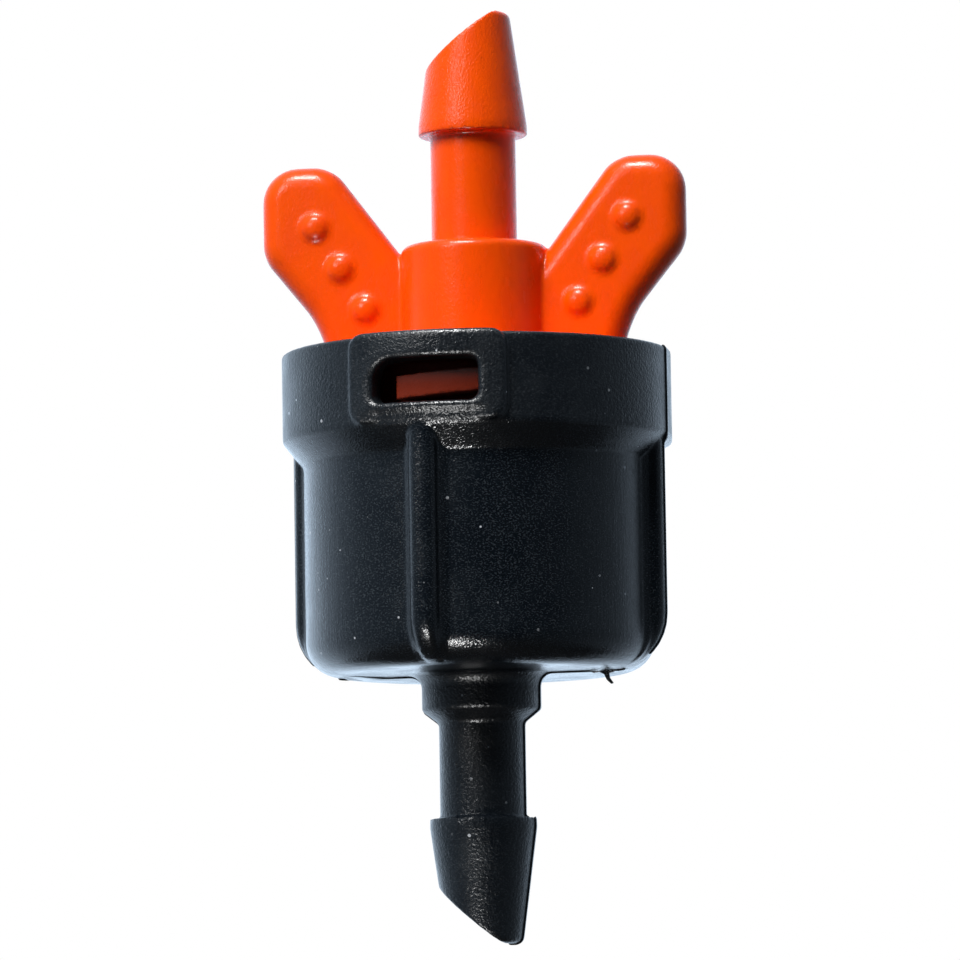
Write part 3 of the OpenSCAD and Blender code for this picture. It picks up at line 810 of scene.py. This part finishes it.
def black_plastic():
    material, tree, shader, place = finish("black_plastic_grain", IOR=1.49)
    normal = add(tree, "NewGeometry").outputs["Normal"]
    slope = math(tree, "ABSOLUTE", add(tree, "SeparateXYZ", {0: normal}).outputs["Z"])
    height = add(tree, "SeparateXYZ", {0: place}).outputs["Z"]
    collar = ramp(tree, height, *collar_band)
    spout = ramp(tree, height, *spout_band, 1.0, 0.0)
    coarse = math(tree, "ADD", collar, spout)
    grain = noise(tree, place, grain_size, detail=1.0)
    pebbles = math(tree, "MULTIPLY", noise(tree, place, pebble_size, detail=1.0), coarse)
    upright = noise(tree, place, streak_size, (1, 1, 0.06))
    rings = noise(tree, place, streak_size, (0.1, 0.1, 1))
    streaks = add(tree, "Mix", {"Factor": ramp(tree, slope, 0.2, 0.5), 2: upright, 3: rings})
    patches = ramp(tree, noise(tree, place, patch_size, detail=3.0), 0.4, 0.6)
    pale = ramp(tree, noise(tree, place, pale_size, (1, 1, 1.6), detail=1.0), 0.5, 0.75)
    cell = add(tree, "TexVoronoi", {"Vector": place, "Scale": 1 / dust_cell})
    luck = add(tree, "SeparateColor", {0: cell.outputs["Color"]})
    speck = math(tree, "POWER", luck.outputs[0], 1.5)
    away = math(tree, "SUBTRACT", cell.outputs["Distance"], math(tree, "MULTIPLY", speck, 0.11))
    dust = math(tree, "MULTIPLY", ramp(tree, away, -0.02, 0.0, 1.0, 0.0), luck.outputs[1])

    grey = blend(tree, patches, black_deep, black_light)
    plain = blend(tree, pale, grey, black_pale)
    dusty = blend(tree, dust, plain, dust_white)
    tree.links.new(dusty, shader.inputs["Base Color"])
    gloss = ramp(tree, patches, 0, 1, 0.15, 0.22)
    matte = math(tree, "MULTIPLY", coarse, 0.14)
    tree.links.new(math(tree, "ADD", gloss, matte), shader.inputs["Roughness"])
    relief = bump(tree, streaks.outputs[0], 0.00001)
    relief = bump(tree, grain, 0.00002, relief)
    relief = bump(tree, pebbles, 0.00003, relief)
    tree.links.new(relief, shader.inputs["Normal"])
    return material


black = black_plastic()
print("nodes in the black plastic:", len(black.node_tree.nodes))

# %% [markdown]
# ## Orange cap plastic
#
# The cap is a bright pigmented plastic. Its mould has the same grain, only fainter, except
# on the barb, and the melt left faint clouds of a deeper tone, drawn out along the axis.
# Below the rim the cap's colour is darkened as painted shade, standing for the shade in the
# recess inside the housing, and the cap is dull there.

# %% Orange plastic
cloud_size, orange_grain, swell_size = 0.0009, 0.0001, 0.0006
# The first band is where the painted shade below the rim fades in.
shade_band_below_rim, barb_band = (0.0228, 0.0236), (0.0350, 0.0354)
orange_light, orange_deep = (0.86, 0.076, 0.0001, 1), (0.82, 0.066, 0.0001, 1)
# A dark orange that paints the shade inside the housing, below the rim.
orange_painted_shade = (0.16, 0.0155, 0.004, 1)


def orange_plastic():
    material, tree, shader, place = finish("orange_plastic_gloss", IOR=1.45,
                                           Specular_IOR_Level=0.3)
    clouds = noise(tree, place, cloud_size, (1, 1, 0.45), detail=4.0)
    tone = blend(tree, ramp(tree, clouds, 0.35, 0.65), orange_light, orange_deep)
    height = add(tree, "SeparateXYZ", {0: place}).outputs["Z"]
    # Painted shade: below the rim the colour darkens, for the shade inside the housing.
    painted_shade_below_rim = ramp(tree, height, *shade_band_below_rim, 1.0, 0.0)
    tone = blend(tree, painted_shade_below_rim, tone, orange_painted_shade)
    tree.links.new(tone, shader.inputs["Base Color"])
    gloss = ramp(tree, clouds, 0.3, 0.7, 0.22, 0.30)
    dull = math(tree, "MULTIPLY", painted_shade_below_rim, 0.4)
    tree.links.new(math(tree, "ADD", gloss, dull), shader.inputs["Roughness"])
    barb = ramp(tree, height, *barb_band, 0.45)
    grain = math(tree, "MULTIPLY", noise(tree, place, orange_grain, (1, 1, 0.7)), barb)
    relief = bump(tree, grain, 0.00003)
    relief = bump(tree, noise(tree, place, swell_size, detail=1.0), 0.00001, relief)
    tree.links.new(relief, shader.inputs["Normal"])
    return material


orange = orange_plastic()
print("nodes in the orange plastic:", len(orange.node_tree.nodes))

# %% [markdown]
# ## The finishes inside the valve
#
# Natural acetal is milky and faintly waxy. The two grey seals are matte rubber with a
# bloom, the diaphragm is red silicone, and the spring is drawn steel wire with fine die
# lines round it. The rigid ones keep their CAD shapes, so only their slots change.

# %% Acetal, rubbers and steel
def acetal():
    material, tree, shader, place = finish(
        "acetal_natural", IOR=1.48, Subsurface_Weight=0.15, Subsurface_Scale=1.0,
        Subsurface_Radius=(0.0006,) * 3)
    cloud = noise(tree, place, 0.002, detail=3.0)
    tone = blend(tree, cloud, (0.80, 0.76, 0.66, 1), (0.88, 0.85, 0.76, 1))
    tree.links.new(tone, shader.inputs["Base Color"])
    tree.links.new(ramp(tree, cloud, 0.3, 0.7, 0.32, 0.42), shader.inputs["Roughness"])
    tree.links.new(bump(tree, noise(tree, place, 0.0002), 0.000006), shader.inputs["Normal"])
    return material


def rubber(name, dark, light, grain):
    material, tree, shader, place = finish(name, IOR=1.5, Specular_IOR_Level=0.35)
    bloom = noise(tree, place, 0.0012, detail=4.0)
    tree.links.new(blend(tree, bloom, dark, light), shader.inputs["Base Color"])
    tree.links.new(ramp(tree, bloom, 0.3, 0.7, 0.55, 0.75), shader.inputs["Roughness"])
    tree.links.new(bump(tree, noise(tree, place, grain), 0.00001), shader.inputs["Normal"])
    return material


def steel():
    material, tree, shader, place = finish("spring_steel_drawn", Metallic=1.0)
    lines = noise(tree, place, 0.0001, (0.3, 0.3, 3.0))
    tone = blend(tree, lines, (0.50, 0.50, 0.52, 1), (0.66, 0.66, 0.67, 1))
    tree.links.new(tone, shader.inputs["Base Color"])
    tree.links.new(ramp(tree, lines, 0.3, 0.7, 0.22, 0.38), shader.inputs["Roughness"])
    tree.links.new(bump(tree, lines, 0.000003), shader.inputs["Normal"])
    return material


natural = acetal()
grey_rubber = rubber("grey_rubber_matte", dark=(0.045, 0.046, 0.05, 1),
                     light=(0.08, 0.08, 0.085, 1), grain=0.0001)
red_silicone = rubber("red_silicone_matte", dark=(0.5, 0.05, 0.03, 1),
                      light=(0.6, 0.08, 0.05, 1), grain=0.0002)
inside = {"seat_insert": natural, "clamp_ring": natural, "piston": natural,
          "seat_seal": grey_rubber, "piston_o_ring": grey_rubber}
for name, material in inside.items():
    piece = frame["nodes"][name]
    piece.data.materials.clear()
    piece.data.materials.append(material)
for piece, material in ((housing, black), (flash, black), (cap, orange),
                        (rim_half, red_silicone), (hub_half, red_silicone), (coil, steel())):
    piece.data.materials.clear()
    piece.data.materials.append(material)
print("finishes:", ", ".join(m.name for m in bpy.data.materials if m.users))

# %% [markdown]
# ## The tent
#
# The emitter hangs in a white tent that is bright behind it and dim in front, so that the
# black plastic gets light edges and a dark face. The tent is a world whose strength
# follows the direction: it rises from the front right to the back left. The camera itself
# sees plain white.

# %% Tent
world = bpy.data.worlds.new("studio")
scene.world = world
world.use_nodes = True
tree = world.node_tree
behind = camera_side - radians(170)
toward = (sin(behind), -cos(behind), 0)
bearing = add(tree, "VectorMath", {0: add(tree, "TexCoord").outputs["Generated"], 1: toward},
              operation="DOT_PRODUCT").outputs["Value"]
soft = ramp(tree, bearing, -0.9, -0.1, 0.03, 0.28)
bright = math(tree, "POWER", ramp(tree, bearing, -0.1, 1.0, 0.0, 1.36), 2)
tent = add(tree, "Background", {"Color": (0.66, 0.82, 1, 1),
                                "Strength": math(tree, "ADD", soft, bright)})
white = add(tree, "Background", {"Color": (1, 1, 1, 1)})
seen = add(tree, "MixShader", {0: add(tree, "LightPath").outputs["Is Camera Ray"],
                               1: tent.outputs[0], 2: white.outputs[0]})
tree.links.new(seen.outputs[0], tree.nodes["World Output"].inputs["Surface"])
print("the tent is brightest towards:", [round(c, 2) for c in toward])

# %% [markdown]
# ## The floor
#
# The floor lies well below. The camera sees it pale, with a soft shadow, but to the emitter
# it is nearly black. From below it is clear, so that it hides nothing.

# %% Floor
floor_size, floor_z = 0.15, -0.12
floor_mesh = bpy.data.meshes.new("floor")
bm = bmesh.new()
bmesh.ops.create_grid(bm, x_segments=1, y_segments=1, size=floor_size)
bm.to_mesh(floor_mesh)
bm.free()
floor = bpy.data.objects.new("floor", floor_mesh)
floor.location.z = floor_z
scene.collection.objects.link(floor)
paint, tree, shader, _ = finish("floor_paint", Roughness=0.7)
from_camera = add(tree, "LightPath").outputs["Is Camera Ray"]
tree.links.new(blend(tree, from_camera, (0.03, 0.03, 0.03, 1), (0.62, 0.62, 0.62, 1)),
               shader.inputs["Base Color"])
glow = add(tree, "Emission", {"Color": (0.93, 0.935, 0.94, 1)})
seen = add(tree, "MixShader", {0: math(tree, "MULTIPLY", from_camera, 0.45),
                               1: shader.outputs[0], 2: glow.outputs[0]})
clear = add(tree, "MixShader", {0: add(tree, "NewGeometry").outputs["Backfacing"],
                                1: seen.outputs[0], 2: add(tree, "BsdfTransparent").outputs[0]})
tree.links.new(clear.outputs[0], tree.nodes["Material Output"].inputs["Surface"])
floor_mesh.materials.append(paint)
print("floor at, in mm:", round(1000 * floor.location.z))

# %% [markdown]
# ## The lamps
#
# The key is a soft box high on the left. It is made of two lamps, a broad one for the
# diffuse light and a narrow one for the highlights, so that each can be set alone. Two more
# add glints only: one at the left draws a streak up the barb, and one low on the left picks
# out the edges that face down.


# %% Lamps
def lamp(name, side, tip, distance, size, power):
    """A square soft box that faces the emitter. Its side is in degrees from the camera, its
    tip in degrees above the level."""
    light = bpy.data.lights.new(name, "AREA")
    light.shape, light.size, light.size_y, light.energy = "RECTANGLE", size, size, power
    thing = bpy.data.objects.new(name, light)
    scene.collection.objects.link(thing)
    place = (Matrix.Rotation(camera_side + radians(side), 4, "Z")
             @ Matrix.Rotation(pi / 2 - radians(tip), 4, "X")
             @ Matrix.Translation((0, 0, distance)))
    thing.matrix_world = Matrix.Translation((0, 0, camera_target.z)) @ place
    return thing


key_high = lamp("key_high", side=-27, tip=62, distance=0.5, size=0.09, power=4.2)
key_soft = lamp("key_soft", side=-40, tip=46, distance=0.5, size=0.25, power=4.0)
streak_left = lamp("streak_left", side=-40, tip=24, distance=0.5, size=0.05, power=0.55)
edge_low = lamp("edge_low", side=-22, tip=-45, distance=0.17, size=0.022, power=0.16)
key_soft.visible_glossy = False
for glint in (key_high, streak_left, edge_low):
    glint.visible_diffuse = False
print("lamps:", ", ".join(light.name for light in bpy.data.lights))
